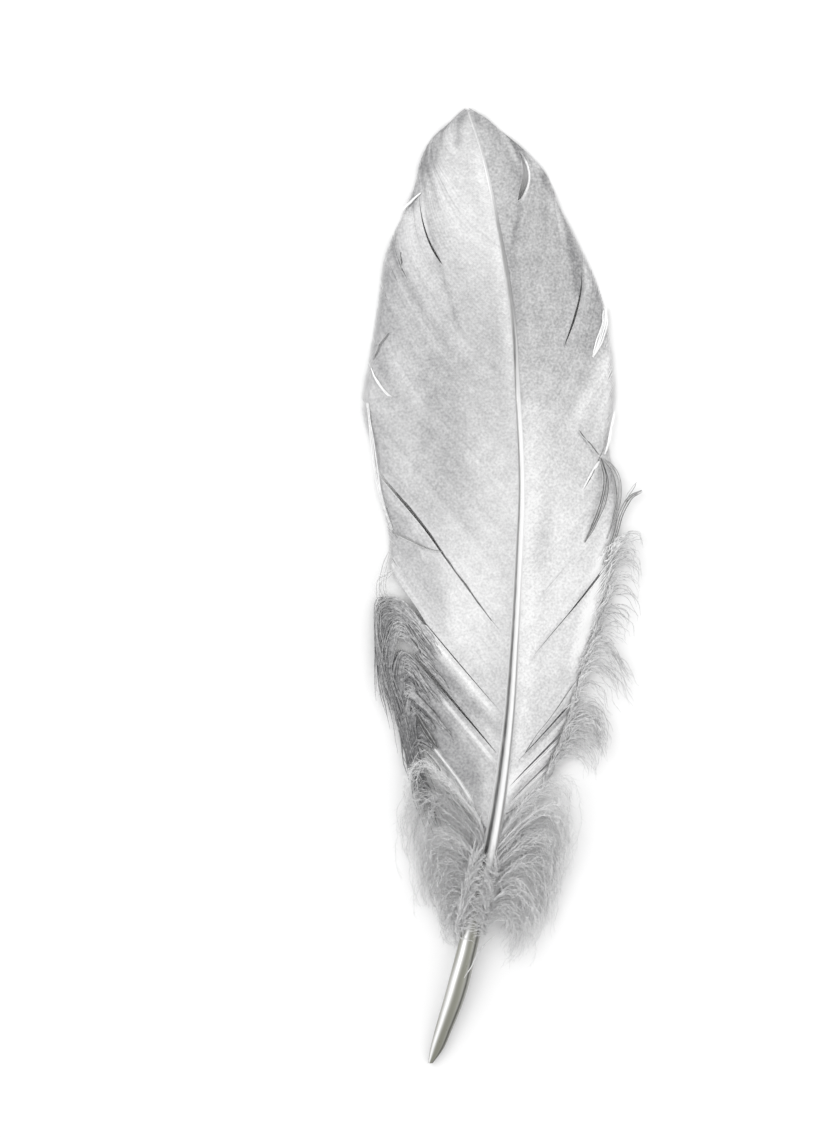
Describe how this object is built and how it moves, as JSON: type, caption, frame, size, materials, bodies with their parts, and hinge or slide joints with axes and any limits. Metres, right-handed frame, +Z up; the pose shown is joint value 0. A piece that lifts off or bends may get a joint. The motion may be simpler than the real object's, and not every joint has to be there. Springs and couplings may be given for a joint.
{
  "type": "goose quill feather",
  "caption": "Silver-painted goose wing feather with a bowed shaft, two broad parted vanes, a tuft of down and a bare quill; lies on a flat surface.",
  "frame": {"origin": "on the surface the feather lies on, under the middle of its box", "axes": "+Y towards the feather's tip, +X to its right seen from above, +Z up from the surface"},
  "size_m": [0.0541, 0.1813, 0.0081],
  "materials": {
    "silver_paint": "satin"
  },
  "bodies": {
    "root": {"goose_quill_feather": "silver_paint"}
  },
  "joints": []
}
